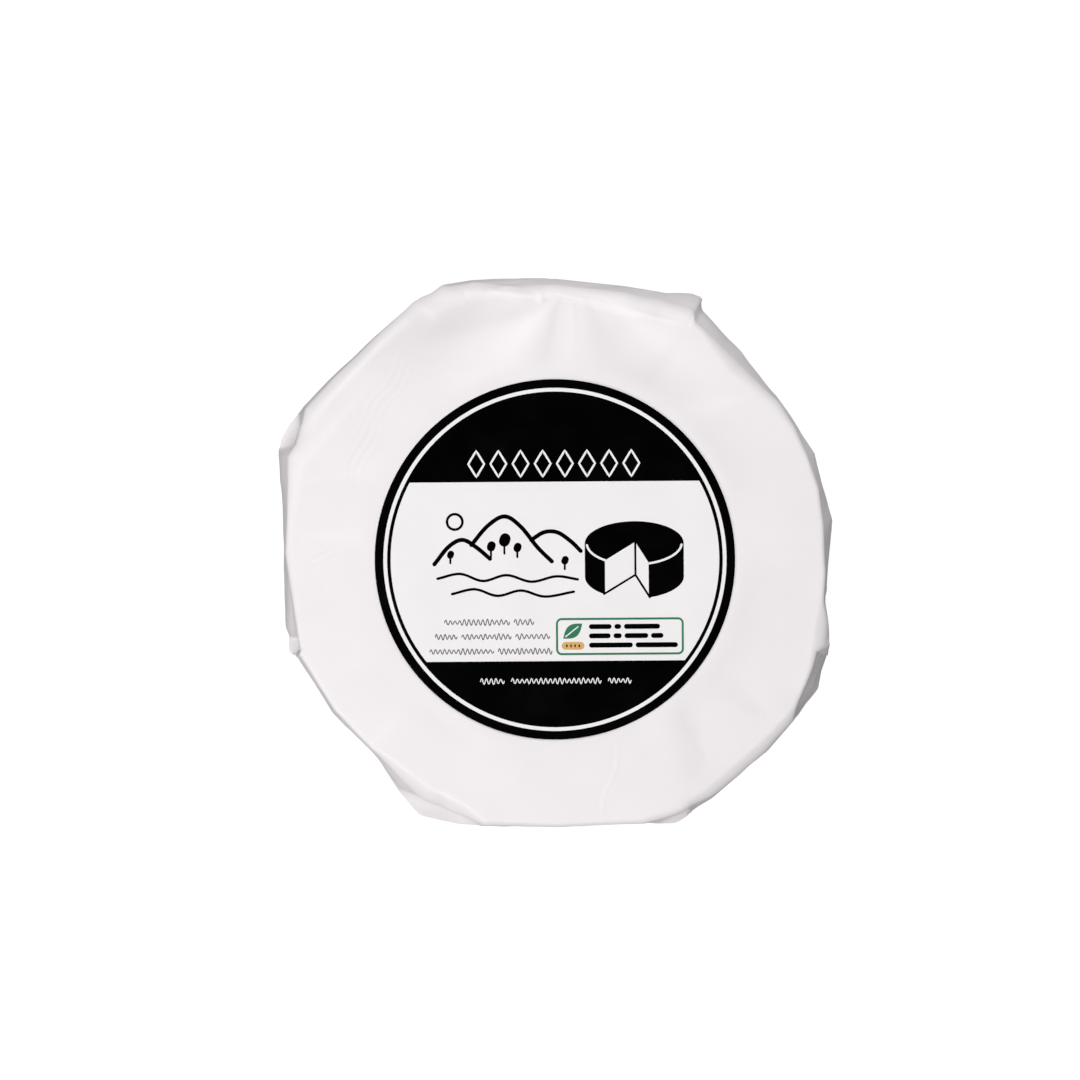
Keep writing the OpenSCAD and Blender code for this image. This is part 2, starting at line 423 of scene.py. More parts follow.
def pleat_edges():
    """The main pleats, and between two that stand far apart some smaller ones, a little unevenly."""
    edges = []
    following = np.append(MAIN_PLEATS[1:, 0], MAIN_PLEATS[0, 0] + TURN)
    for (a, start), b in zip(MAIN_PLEATS, following):
        edges.append((a, start))
        extra = int(np.ceil((b - a) / WIDEST_FLAP)) - 1
        for k in range(extra):
            place = a + (b - a) * (k + 1) / (extra + 1) + rng.uniform(-2, 2)
            edges.append((place, rng.uniform(0.4, 0.75)))
    return edges


def columns():
    """Base angle, share of the doubling back, layer height from 1 (proud) to -1 (under), and where on
    the side the pleat starts, for every column."""
    edges = pleat_edges()
    made = []
    for (a, start), (b, start_b) in zip(edges, edges[1:] + [(edges[0][0] + TURN, edges[0][1])]):
        count = int(np.ceil((b - a) / COLUMN_STEP))
        t = np.linspace(0, 1, count + 1)
        nearest = np.where(t < 0.5, start, start_b)
        even = a + EDGE_GAP + (b - a - 2 * EDGE_GAP) * t
        made.append(np.stack([even, 0 * t, 1 - 2 * t, nearest], axis=1))
        # under the next flap, round the inner crease, back to the free edge and round it: degrees from
        # the pleat, share of the doubling back, and layer
        under = np.array([(-0.10, 0.5, -1), (-0.07, 1.0, -1), (-0.04, 1.06, -0.5), (-0.01, 1.0, 0),
                          (0.02, 0.5, 0), (0.05, 0.0, 0.1), (0.08, -0.05, 0.6)])
        made.append(np.concatenate([under + (b, 0, 0), np.full((len(under), 1), start_b)], axis=1))
    return np.concatenate(made)


COLUMNS = columns()
COL_ANGLE, COL_BACK, COL_LAYER, COL_START = COLUMNS.T
print(int((COL_BACK > 1).sum()), "pleats and", len(COLUMNS), "columns")


# %% Angles of every column on every row
def way_down():
    """How far each row lies down the side: 0 at the top's edge, 0.5 at the widest height, 1 at the foot
    and beyond."""
    places = [ROW_PART < UPPER_SIDE, ROW_PART == UPPER_SIDE, ROW_PART == LOWER_SIDE]
    return np.select(places, [0 * ROW_T, 0.5 * ROW_T, 0.5 + 0.5 * ROW_T], 1.0)[:, None]


def base_share():
    """How far each row lies along the underside, from 0 at its edge to 1 at the hub."""
    return np.where(ROW_PART == BASE, ROW_T, 0.0)[:, None]


# a pleat grows evenly from where it starts to the foot, and is as wide in mm at any radius
growth = np.clip((way_down() - COL_START) / (1 - COL_START), 0, 1)
nominal_r = TIGHT_R * (1 - base_share()) + HUB_R
doubling = np.degrees(PLEAT_WIDTH * growth * (1 - base_share()) / nominal_r)
theta = COL_ANGLE + COL_BACK * doubling + SWIRL * base_share() ** 1.3
# the middle of the outline is brought over the origin
edge_points = skin(np.tile(np.arange(0.0, TURN, 0.25), (len(ROW_T), 1)))[..., :2].reshape(-1, 2)
middle = np.append((edge_points.max(0) + edge_points.min(0)) / 2, 0.0)
points = skin(theta) - middle
print("skin grid", points.shape, "moved by", (-middle).round(2))

# %% [markdown]
# ## Creases
# A crease in paper is a straight line where two flat areas meet, so crumpled paper is a sum of folded
# planes. Each is an uneven zigzag across its own direction. The top face is pulled tight instead: it has
# long creases that fan out from where the sheet was pinched, and a few fine ripples. All of this is moved
# in the geometry, along the skin's own normal, so that it shows in the mesh and not only in the shading.

# %% Normals of the skin
def normals_of(surface, turned):
    """The cross product of the way down a column and the way round a row, made one unit long."""
    around = turned - surface
    down = np.gradient(surface, axis=0)
    normal = np.cross(down, around)
    return normal / np.maximum(np.linalg.norm(normal, axis=-1, keepdims=True), 1e-9)


NUDGE = 0.05  # degrees to the neighbouring point that the normals are taken with
normal = normals_of(points, skin(theta + NUDGE) - middle)
print("top normal", normal[5, 0].round(2), "side normal", normal[-30, 0].round(2))

# %% [markdown]
# The side has three grades of crumple: broad loose creases low down, fine ones all over, and small sharp
# ones that keep to the pinched corners.

# %% Crumple of the side
def turn_from(angle, centre):
    """The turn from a centre to an angle, by the shorter way round, in degrees."""
    return (angle - centre + TURN / 2) % TURN - TURN / 2


def zigzag(x, draw, corners=700):
    """Straight runs between corners at uneven places, about two for each unit of x, and of uneven
    heights between -1 and 1, so that no two creases are alike."""
    places = np.cumsum(draw.uniform(0.25, 0.85, corners))
    return np.interp(x, places - places[corners // 2], draw.uniform(-1, 1, corners))


def crumple(theta, down_mm, patches, span, wave_mm, seed):
    """A sum of zigzags, each in a direction of its own and inside a soft window of its own place and
    width, so that no crease runs on round the whole pack."""
    draw = np.random.default_rng(seed)
    total = np.zeros_like(theta)
    for _ in range(patches):
        centre, half_width = draw.uniform(0, TURN), draw.uniform(*span)
        direction, wave = draw.uniform(0, np.pi), draw.uniform(*wave_mm)
        away = turn_from(theta, centre)
        along_mm = away * np.radians(TIGHT_R)
        phase = (along_mm * np.sin(direction) + down_mm * np.cos(direction)) / wave + draw.uniform()
        total += draw.uniform(0.5, 1.0) * zigzag(phase, draw) * np.exp(-(away / half_width) ** 2)
    return total


def near(theta, centre, half_width):
    """A smooth hill of height 1 at an angle, which has fallen to 0.37 half_width degrees away."""
    return np.exp(-(turn_from(theta, centre) / half_width) ** 2)


steps_mm = np.linalg.norm(np.diff(points, axis=0), axis=-1)
down_mm = np.concatenate([np.zeros((1, points.shape[1])), np.cumsum(steps_mm, axis=0)])
part = ROW_PART[:, None]
t = ROW_T[:, None]
side_share = np.select([part == TOP, part == SHOULDER, part == BASE], [0 * t, 0.35 * t, 0.5 * (1 - t)], 1.0)
CRUSHED = ((1.8, 108, 10), (0.7, 155, 5), (0.6, 295, 5), (0.5, 336, 8), (0.5, 66, 8), (0.5, 246, 7))
corner_share = sum(share * near(theta, angle, half_width) for share, angle, half_width in CRUSHED)
rim_choices = [np.clip(8 * t - 7, 0, 1) * 0.6, 0.6 + 0.4 * t]
shoulder_share = np.select([part == TOP, part == SHOULDER], rim_choices, 0.6)
# the paper is pulled straight down to its widest height, and is only loose below it
loose_share = 0.3 + 0.7 * np.clip((way_down() - 0.5) / 0.3, 0, 1)
fine_share = 0.6 + 0.4 * np.clip((way_down() - 0.5) / 0.2, 0, 1)
sharp_share = corner_share * shoulder_share * (part < FOOT)
loose = crumple(theta, down_mm, patches=34, span=(8, 26), wave_mm=(6, 18), seed=5) * 0.36
fine = crumple(theta, down_mm, patches=60, span=(4, 9), wave_mm=(3, 7), seed=8) * 0.24
crushed = crumple(theta, down_mm, patches=100, span=(2.5, 6), wave_mm=(2.8, 6), seed=9) * 0.4 * sharp_share
relief = side_share * (loose * loose_share + fine * fine_share) + crushed
print(f"crumple up to {abs(relief).max():.2f} mm")

# %% [markdown]
# The top's creases fan out from pinches at the rim. A fan crease keeps the same width in degrees, so it
# is a hill across its direction, whose height grows with the distance from the pinch and then dies away.

# %% Creases of the top
PINCHES = (
    # x, y of the pinch; direction in degrees; half width in degrees; height and reach in mm
    (1.4, 50.5, 228, 15, 0.46, 17),
    (-8.0, 50.5, 200, 24, -0.5, 22),
    (1.4, 50.8, 258, 9, -0.2, 15),
    (3.0, 51.2, 272, 6, 0.14, 9),
    (5.5, 51.2, 294, 15, -0.3, 17),
    (9.0, 50.4, 322, 12, 0.3, 19),
    (26.0, 43.0, 232, 14, -0.16, 14),
    (40.0, 31.0, 196, 13, 0.16, 16),
    (-50.0, 14.0, 10, 10, 0.12, 14),
    (-51.0, 4.0, -4, 8, 0.12, 16),
    (43.0, -33.0, 142, 16, -0.2, 15),
    (30.0, -41.0, 118, 16, -0.16, 14),
    (-36.0, -38.0, 48, 16, 0.16, 15),
)


def fan_crease(x, y, crease):
    """A hill across the crease's direction, times the way from the pinch over the reach, times e to the
    power of 1 less that way squared, which peaks at 0.7 of the reach and dies away beyond it."""
    px, py, direction, half_width, height, reach = crease
    away = np.hypot(x - px, y - py) / reach
    across = near(np.degrees(np.arctan2(y - py, x - px)), direction, half_width)
    return height * across * away * np.exp(1 - away ** 2) * 0.8


def along_and_across(x, y, middle_x, middle_y, direction):
    """Distances along a direction and across it, from a middle."""
    c, s = np.cos(np.radians(direction)), np.sin(np.radians(direction))
    dx, dy = x - middle_x, y - middle_y
    return dx * c + dy * s, -dx * s + dy * c


RIPPLES = (
    # middle x, y; direction along the lines; length and width of the patch; spacing; height
    (-33.0, 31.0, 58, 9, 2.6, 1.5, 0.055),
    (-37.5, 20.0, 68, 7, 2.4, 1.5, 0.055),
    (-45.5, -1.0, 40, 3, 2.0, 1.5, 0.06),
    (10.5, -44.5, 76, 8, 0.9, 1.6, 0.07),
)


def ripple(x, y, patch):
    """Fine parallel waves inside a long soft patch, bent a little so that they look hand made."""
    *line, length, width, spacing, height = patch
    along, across = along_and_across(x, y, *line)
    across = across + 0.5 * np.sin(along * 0.55)
    window = np.exp(-(along / length) ** 4 - (across / width) ** 4)
    return height * window * np.cos(2 * np.pi * across / spacing)


# The ridges here are also painted whiter and the hollows greyer in the paper's colour, as painted highlight
# and painted shade; the long ridge on the upper-left shoulder is a painted sheen.
STREAKS = (
    # middle x, y; direction along it; half length and half width; height (a ridge) or depth (a hollow)
    (13.0, 47.0, 166, 12.5, 0.6, 0.3),
    (-9.5, 50.2, 176, 7.0, 0.7, 0.2),
    (-3.2, 50.0, 108, 1.5, 0.8, 0.35),
    (-24.8, 47.0, 148, 2.2, 0.8, 0.35),
    (-17.3, 50.4, 106, 1.4, 0.6, 0.3),
    (-12.0, 50.9, 160, 1.4, 0.5, 0.25),
    (-13.0, 45.0, 194, 13.0, 2.2, -0.26),
    (27.0, 25.0, 130, 15.0, 5.5, -0.26),
    (27.0, -38.5, 100, 8.0, 3.4, -0.2),
    (36.0, -14.0, 75, 12.0, 4.0, -0.14),
    (-24.0, -31.0, 143, 9.0, 3.5, -0.12),
    (-9.0, 37.5, 12, 9.0, 3.0, -0.12),
    (-38.5, 36.0, 47, 15.0, 1.1, 0.35),
    (-45.0, 22.0, 50, 12.0, 1.0, 0.12),
    (-50.5, 9.0, 78, 8.0, 0.9, 0.1),
)


def streak(x, y, shape):
    """A long ridge or hollow: a hill that falls off fast across its line and slowly along it."""
    *line, length, width, height = shape
    along, across = along_and_across(x, y, *line)
    return height * np.exp(-(along / length) ** 4 - (across / width) ** 2)


def unevenness(x, y, height=0.14):
    """The softness of the cheese under the paper, shared by the paper and the label that lies on it: a few
    long sine waves in random directions."""
    draw = np.random.default_rng(3)
    total = np.zeros_like(x)
    for _ in range(6):
        direction, length = draw.uniform(0, 2 * np.pi), draw.uniform(14, 34)
        phase = 2 * np.pi * ((x * np.cos(direction) + y * np.sin(direction)) / length + draw.uniform())
        total += np.sin(phase)
    return height * total / 6


UNDER_LABEL = 0.03  # the paper lies this much lower under the label, which covers it
x, y = points[..., 0], points[..., 1]
from_label = np.hypot(x, y - LABEL_Y) - LABEL_R
top_share = np.select([part == TOP, part == SHOULDER], [1 + 0 * t, 1 - t], 0.0)
# creases begin a little outside the label and have their full height 3 mm further on
free_share = np.clip((from_label - 0.8) / 3, 0, 1)
folded = sum(fan_crease(x, y, crease) for crease in PINCHES) + sum(streak(x, y, shape) for shape in STREAKS)
rippled = sum(ripple(x, y, patch) for patch in RIPPLES)
top_relief = (folded + rippled) * free_share + unevenness(x, y) - UNDER_LABEL * (from_label < 0.5)
relief = relief + top_share * top_relief
# painted highlight and painted shade, kept for the paper's colour: the ridges of the folds, creases,
# ripples and crumpled corners are painted whiter and their hollows greyer, in mm of relief
painted_shade_share = free_share * np.select([part == TOP, part == SHOULDER], [1 + 0 * t, 1 - 0.5 * t], 0.0)
painted_fold_shade = (folded + 1.5 * rippled) * painted_shade_share + crushed
layers = LAYER * COL_LAYER * growth * (1 - 0.8 * base_share())
points = points + normal * (relief + layers)[..., None]
print(f"creases from {relief.min():.2f} to {relief.max():.2f} mm")

# %% [markdown]
# The pack rests on its folded underside. Paper that would go through the floor is pressed flat on it, and
# the layers keep their order. The skin is closed under the label and at the hub by rings drawn inwards.

# %% Rest the skin on the floor
CLOSED_BELOW = 0.3  # the skin is closed this far under the label


def closing_ring(points, height, radii):
    """Rings that close a hole towards its middle: the rim's own points scaled in, at one height."""
    rim_points = points[..., :2]
    return [np.concatenate([rim_points * r, np.full((len(points), 1), height)], axis=1) for r in radii]


PRESSED = 0.12  # paper nearer the floor than this is pressed flat, layer on layer


def pressed(height):
    """Heights below PRESSED shrink towards the floor as an exponential, so that layers keep their order."""
    return np.where(height < PRESSED, PRESSED * np.exp(np.minimum(height / PRESSED, 1.0) - 1), height)


low_part = ROW_PART >= FOOT
points[low_part, :, 2] += LAYER
points[..., 2] = pressed(points[..., 2])
under_label = closing_ring(points[0], PACK_H - CLOSED_BELOW, (0.96, 0.6, 0.25))[::-1]
hub = closing_ring(points[-1], LAYER, (0.55,))
rings = np.concatenate([np.stack(under_label), points, np.stack(hub)])
print(len(rings), "rings")


# %% Mesh of the skin
def closed_skin(name, rings, first_pole, last_pole):
    """Joins rings of points into quads, and closes both ends with a fan of triangles round a pole."""
    count, around = rings.shape[:2]
    verts = np.concatenate([rings.reshape(-1, 3), [first_pole, last_pole]]) * MM
    a = (np.arange(count - 1)[:, None] * around + np.arange(around)).ravel()
    b = (np.arange(count - 1)[:, None] * around + (np.arange(around) + 1) % around).ravel()
    quads = np.stack([a, a + around, b + around, b], axis=1)
    i = np.arange(around)
    n = (i + 1) % around
    last = (count - 1) * around
    fans = np.concatenate([
        np.stack([n, np.full(around, count * around), i], axis=1),
        np.stack([last + i, np.full(around, count * around + 1), last + n], axis=1),
    ])
    mesh = bpy.data.meshes.new(name)
    mesh.from_pydata(verts.tolist(), [], quads.tolist() + fans.tolist())
    mesh.polygons.foreach_set("use_smooth", np.ones(len(mesh.polygons), bool))
    mesh.validate()
    return placed(name, mesh)


top_pole = (*rings[0, :, :2].mean(0), PACK_H - CLOSED_BELOW)
hub_pole = (*rings[-1, :, :2].mean(0), LAYER)
skin_piece = closed_skin("wrapping_paper", rings, top_pole, hub_pole)
skin_piece.data.set_sharp_from_angle(angle=np.radians(50))  # a harder fold than this shows as an edge
# The painted highlight and shade go with every point of the mesh, none under the label or at the hub.
painted_shade_rings = np.pad(painted_fold_shade, ((len(under_label), len(hub)), (0, 0))).ravel()
painted_shade_attribute = skin_piece.data.attributes.new("painted_fold_shade", "FLOAT", "POINT")
painted_shade_attribute.data.foreach_set("value", np.append(painted_shade_rings, (0.0, 0.0)).astype(np.float32))
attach(skin_piece, "root")
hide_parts("wrapped_cheese")
skin_piece.data.calc_loop_triangles()
print(len(skin_piece.data.loop_triangles), "triangles in the paper")

# %% [markdown]
# ## Waxed paper
# Cheese paper is thin bleached paper with a wax or plastic film on its back and a light glaze in front.
# It reads as a warm white that is satin rather than matt: wide soft highlights on the shoulders, faint
# clouds from the fibres, and a tooth far too fine to see, which is drawn here at 0.5 mm. Thin waxed paper
# is also a little see-through. Light and shade of the folds are also painted into its colour: the relief
# kept on the mesh, in millimetres, paints the ridges whiter as painted highlight and the hollows greyer as
# painted shade. It is greyer round the label's edge too.

# %% Material of the paper
paper = new_material("waxed_wrapping_paper")
CLOUD_MM = 9.0  # size of the fibre clouds
FIBRE_MM = 0.5  # size of the tooth
HALO_MM = 4.0  # the grey round the label fades over this width
HALO_DEPTH = 0.035
FLAT_WHITE = 0.435  # whiteness where the paper lies flat, from 0 (grey) to 1 (white)
PAINTED_SHADE_WHITE = 0.6  # whiteness that each millimetre of relief adds: painted highlight on ridges, painted shade in hollows
CLOUD_WHITE = 0.13  # whiteness that a cloud adds
place = add_node(paper, "ShaderNodeTexCoord", "Object")
clouds = add_node(paper, "ShaderNodeTexNoise", "Fac",
                  {"Scale": 1 / (CLOUD_MM * MM), "Detail": 4.0, "Roughness": 0.6}, {"Vector": place})
to_label = add_node(paper, "ShaderNodeVectorMath", "Value", {1: (0, LABEL_Y * MM, PACK_H * MM)},
                    {0: place}, operation="DISTANCE")
halo = add_node(paper, "ShaderNodeMapRange", "Result",
                {"From Min": (LABEL_R - 0.5) * MM, "From Max": (LABEL_R + HALO_MM) * MM,
                 "To Min": HALO_DEPTH, "To Max": 0.0},
                {"Value": to_label}, interpolation_type="SMOOTHSTEP")
halo_patch = add_node(paper, "ShaderNodeMath", "Value", links={0: halo, 1: clouds}, operation="MULTIPLY")
# Painted highlight and painted shade: the relief kept on the mesh makes the ridges whiter and the hollows
# greyer.
painted_lighter = add_node(paper, "ShaderNodeAttribute", "Fac", attribute_name="painted_fold_shade")
painted_shade_whiteness = add_node(paper, "ShaderNodeMath", "Value", {1: PAINTED_SHADE_WHITE, 2: FLAT_WHITE}, {0: painted_lighter},
                    operation="MULTIPLY_ADD")
whiteness = add_node(paper, "ShaderNodeMath", "Value", {1: CLOUD_WHITE}, {0: clouds, 2: painted_shade_whiteness},
                     operation="MULTIPLY_ADD")
tint = add_node(paper, "ShaderNodeMix", "Result", {"A": linear("#D6D1D2"), "B": linear("#FBF7F8")},
                {"Factor": whiteness}, data_type="RGBA")
shaded = add_node(paper, "ShaderNodeMix", "Result", {"B": linear("#8A8684")},
                  {"Factor": halo_patch, "A": tint}, data_type="RGBA")
gloss = add_node(paper, "ShaderNodeMapRange", "Result",
                 {"From Min": 0.3, "From Max": 0.7, "To Min": 0.42, "To Max": 0.58}, {"Value": clouds})
fibres = add_node(paper, "ShaderNodeTexNoise", "Fac", {"Scale": 1 / (FIBRE_MM * MM), "Detail": 2.0},
                  {"Vector": place})
tooth = add_node(paper, "ShaderNodeBump", "Normal", {"Strength": 0.12, "Distance": 0.02 * MM},
                 {"Height": fibres})
surface(paper, {"IOR": 1.5, "Coat Weight": 0.1, "Coat Roughness": 0.35},
        {"Base Color": shaded, "Roughness": gloss, "Normal": tooth})
skin_piece.data.materials.append(paper)
# Whiteness 1 is reached on ridges with painted highlight.
print("the paper's whiteness goes from", FLAT_WHITE, "where it is flat to 1 where it is lifted")

# %% [markdown]
# ## The label
# The label is a disc of coated paper that was printed before it was cut and stuck on. A print is ink on
# paper, a few hundredths of a millimetre thick. Here every printed field and line is a thin plate of its
# own that follows the label's surface, because a shape keeps a crisp edge at any distance, while a
# picture would blur. Every plate is a small grid of points, lifted to the label and closed at its sides.

# %% Plates that follow the label
INK_TOP = LABEL_T + 0.02  # ink on the label's paper
OVER_TOP = LABEL_T + 0.04  # light marks that show on dark ink
LINE_TOP = LABEL_T + 0.06  # dark lines on those
PRINT_TURN = 0.4  # the print is cut a little askew, in degrees
PRINT_SHIFT = (-0.1, -0.06)


def plate(grid, low, high, wrap=False):
    """Vertices and quads of a thin closed plate over a grid of x, y in the label's own millimetres. The
    upper and lower sides follow the unevenness of the pack at two heights, and walls join their borders."""
    count = grid.shape[0] * grid.shape[1]
    index = np.arange(count).reshape(grid.shape[:2])
    index = np.concatenate([index, index[:, :1]], axis=1) if wrap else index
    top = np.stack([index[:-1, :-1], index[:-1, 1:], index[1:, 1:], index[1:, :-1]], axis=-1).reshape(-1, 4)
    x, y = grid.reshape(-1, 2).T
    ahead = np.roll(top, -1, axis=1)
    if (x[top] * y[ahead] - x[ahead] * y[top]).sum() < 0:
        top = top[:, ::-1]
    edges = np.stack([top, np.roll(top, -1, axis=1)], axis=-1).reshape(-1, 2)
    border = edges[~np.isin(edges @ (count, 1), edges[:, ::-1] @ (count, 1))]
    walls = np.stack([border[:, 1], border[:, 0], border[:, 0] + count, border[:, 1] + count], axis=1)
    y = y + LABEL_Y
    base = PACK_H + unevenness(x, y)
    verts = np.concatenate([np.stack([x, y, base + high], axis=1), np.stack([x, y, base + low], axis=1)])
    return verts, np.concatenate([top, top[:, ::-1] + count, walls])


def printed(grid):
    """Turns and shifts a grid with the print, which lies a little askew on the label."""
    c, s = np.cos(np.radians(PRINT_TURN)), np.sin(np.radians(PRINT_TURN))
    return grid @ np.array([(c, s), (-s, c)]) + PRINT_SHIFT


def plates_piece(name, plates):
    """One mesh from many plates, in millimetres, riding with the pack."""
    starts = np.cumsum([0] + [len(verts) for verts, _ in plates])[:-1]
    verts = np.concatenate([verts for verts, _ in plates]) * MM
    quads = np.concatenate([quads + start for (_, quads), start in zip(plates, starts)])
    mesh = bpy.data.meshes.new(name)
    mesh.from_pydata(verts.tolist(), [], quads.tolist())
    mesh.validate()
    piece = placed(name, mesh)
    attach(piece, "root")
    mesh.calc_loop_triangles()
    print(name, len(plates), "plates,", len(mesh.loop_triangles), "triangles")
    return piece


# %% Shapes of print
def between(lower, upper, rows=2):
    """A filled shape: a grid of straight rows from one edge line to another."""
    share = np.linspace(0, 1, rows)[:, None, None]
    return lower + (upper - lower) * share


def ellipse(angle, rx=1.0, ry=1.0):
    """Points of an ellipse at the given angles: rx times the cosine and ry times the sine."""
    return np.stack([rx * np.cos(angle), ry * np.sin(angle)], axis=-1)


def ring(r_in, r_out, step=1.5):
    """A flat ring, in two rows of points round a circle."""
    circle = ellipse(np.linspace(0, 2 * np.pi, int(2 * np.pi * r_out / step), endpoint=False))
    return between(r_in * circle, r_out * circle)


def disc(radius, step=1.2):
    """A disc as a square grid pressed round: x is u times the root of 1 - v squared / 2, and y likewise."""
    u = np.linspace(-1, 1, int(2 * radius / step))
    u, v = np.meshgrid(u, u)
    return radius * np.stack([u * np.sqrt(1 - v ** 2 / 2), v * np.sqrt(1 - u ** 2 / 2)], axis=-1)


def cap(radius, y0, step=1.2):
    """The part of a disc beyond the line y = y0, on the side where y0 lies."""
    half = np.sqrt(radius ** 2 - y0 ** 2)
    x = half * np.sin(np.linspace(-np.pi / 2, np.pi / 2, int(3 * half / step)))
    chord = np.stack([x, np.full_like(x, y0)], axis=1)
    arc = np.stack([x, np.sign(y0) * np.sqrt(radius ** 2 - x ** 2)], axis=1)
    return between(chord, arc, rows=int((radius - abs(y0)) / step) + 2)


def curve(points, per_span=10):
    """A smooth line through points: between two of them it is a cubic that leaves and arrives along the
    line joining each point's neighbours."""
    p = np.array(points, float)
    p = np.concatenate([[2 * p[0] - p[1]], p, [2 * p[-1] - p[-2]]])
    t = np.linspace(0, 1, per_span, endpoint=False)[:, None]
    a, b, c, d = p[:-3, None], p[1:-2, None], p[2:-1, None], p[3:, None]
    line = b + (c - a) / 2 * t + (a - 2.5 * b + 2 * c - d / 2) * t ** 2
    line = line + (1.5 * (b - c) + (d - a) / 2) * t ** 3
    return np.concatenate([line.reshape(-1, 2), p[-2:-1]])


def stroke(line, width, closed=False):
    """A pen stroke along a line: half the width to each side, and round at its two ends."""
    ahead, behind = np.roll(line, -1, axis=0), np.roll(line, 1, axis=0)
    along = ahead - behind
    if not closed:
        along[0], along[-1] = line[1] - line[0], line[-1] - line[-2]
    along = along / np.linalg.norm(along, axis=1, keepdims=True)
    if not closed:
        turn = np.linspace(0, np.pi / 2, 5)[:, None]
        start = line[0] - along[0] * width / 2 * np.cos(turn[:-1])
        end = line[-1] + along[-1] * width / 2 * np.sin(turn[1:])
        half = np.concatenate([np.sin(turn[:-1, 0]), np.ones(len(line)), np.cos(turn[1:, 0])])
        along = np.concatenate([np.tile(along[0], (4, 1)), along, np.tile(along[-1], (4, 1))])
        line = np.concatenate([start, line, end])
    else:
        half = np.ones(len(line))
    side = np.stack([-along[:, 1], along[:, 0]], axis=1) * (half * width / 2)[:, None]
    return np.stack([line - side, line + side])


def dash(x, y, length, height):
    """A short bar with round ends, which stands for a printed word."""
    ends = np.array([(x + height / 2, y), (x + length - height / 2, y)])
    return stroke(ends, height)


def scribble(x, y, length, height, seed, pitch=0.9, width=0.19):
    """A fine pen wave as long as a word: a sine across a straight row, of uneven height."""
    draw = np.random.default_rng(seed)
    turns = max(int(round(length / pitch)), 1)
    t = np.linspace(0, turns, turns * 8 + 1)
    tall = np.interp(t, np.arange(turns + 1), draw.uniform(0.45, 1.0, turns + 1))
    wave = np.stack([x + length * t / turns, y + height / 2 * tall * np.sin(2 * np.pi * t)], axis=1)
    return stroke(wave, width)


def word_places(x, lengths, gap):
    """Number, left end and length of each word in a row that starts at x."""
    starts = x + np.cumsum([0] + [length + gap for length in lengths[:-1]])
    return zip(range(len(lengths)), starts, lengths)


print("a ring of", ring(33, 35).shape[1], "points, a disc of", disc(35).shape[0], "rows")

# %% [markdown]
# The label's own paper is a disc on the pack. Its surface follows the softness of the cheese below.

# %% The label's paper
label_paper = plates_piece("label_paper", [plate(disc(LABEL_R), 0.0, LABEL_T)])
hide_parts("label")
label_paper.data.polygons.foreach_set("use_smooth", np.ones(len(label_paper.data.polygons), bool))
label_paper.data.set_sharp_from_angle(angle=np.radians(40))  # keeps the cut edge sharp

# %% [markdown]
# The design is a black disc with a white band across it, inside a white line and a black border. White is
# never printed: it is bare paper, so the black is laid down as a border, a thin ring and two caps.

# %% Fields of black
BORDER_IN = 33.31  # inside of the black border
FIELD_R = 32.57  # outside of the thin black ring, after the white line
BAND_R = 31.9  # inside of the thin black ring, and radius of the white band's ends
BAND_TOP, BAND_BOTTOM = 15.08, -19.74

black = [(ring(BORDER_IN, LABEL_R - 0.02), True), (ring(BAND_R, FIELD_R), True)]
black += [(cap(BAND_R, BAND_TOP), False), (cap(BAND_R, BAND_BOTTOM), False)]
print("white band", round(BAND_TOP - BAND_BOTTOM, 1), "mm high")

# %% [markdown]
# The band shows what the pack holds: a wheel of cheese with a wedge cut out, and the hills it comes from,
# drawn with a brush pen. The wheel is solid black, and its edges are left as white lines.

# %% The wheel of cheese
WHEEL_AT = np.array([15.4, 3.0])
WHEEL_RX, WHEEL_RY, WHEEL_H = 9.6, 4.3, 6.4
angle = np.linspace(np.pi, 0, 49)
upper_arc = WHEEL_AT + ellipse(angle, WHEEL_RX, WHEEL_RY)
lower_arc = WHEEL_AT - (0, WHEEL_H) + ellipse(angle, WHEEL_RX, -WHEEL_RY)
black.append((between(lower_arc, upper_arc, rows=12), False))


def on_rim(degrees, drop=0.0, inward=0.0):
    """A point on the wheel's upper rim, lowered by drop and moved inward."""
    c, s = np.cos(np.radians(degrees)), np.sin(np.radians(degrees))
    return WHEEL_AT + ((WHEEL_RX - inward) * c, (WHEEL_RY - inward * 0.5) * s - drop)


cut_a, cut_b = 232, 288  # the wedge that is cut out, as angles on the rim
cut_angles = np.linspace(cut_a, cut_b, 25)
left_of, right_of = np.linspace(184, cut_a, 25), np.linspace(cut_b, 356, 25)
white = [(stroke(np.array([on_rim(a, 0.0, 0.4) for a in arc]), 0.42), False) for arc in (left_of, right_of)]
# the notch runs from the cut's one corner to the heart of the wheel, and back out to its other corner
heart, heart_below = WHEEL_AT + (0.2, 0.3), WHEEL_AT + (0.2, 0.3 - WHEEL_H)
notch_top = np.concatenate([on_rim(cut_a) + (heart - on_rim(cut_a)) * np.linspace(0, 1, 13)[:, None],
                            heart + (on_rim(cut_b) - heart) * np.linspace(0, 1, 13)[1:, None]])
notch_low = np.array([on_rim(a, WHEEL_H + 0.5) for a in cut_angles])
white.append((between(notch_low, notch_top, rows=12), False))
low_a, low_b = on_rim(cut_a, WHEEL_H), on_rim(cut_b, WHEEL_H)
lines = [(stroke(np.array(ends), 0.4), False) for ends in (
    (heart, heart_below), (low_a, heart_below), (heart_below, low_b),
    (on_rim(cut_a, 0.2), low_a), (on_rim(cut_b, 0.2), low_b))]
print("wheel", 2 * WHEEL_RX, "mm wide")

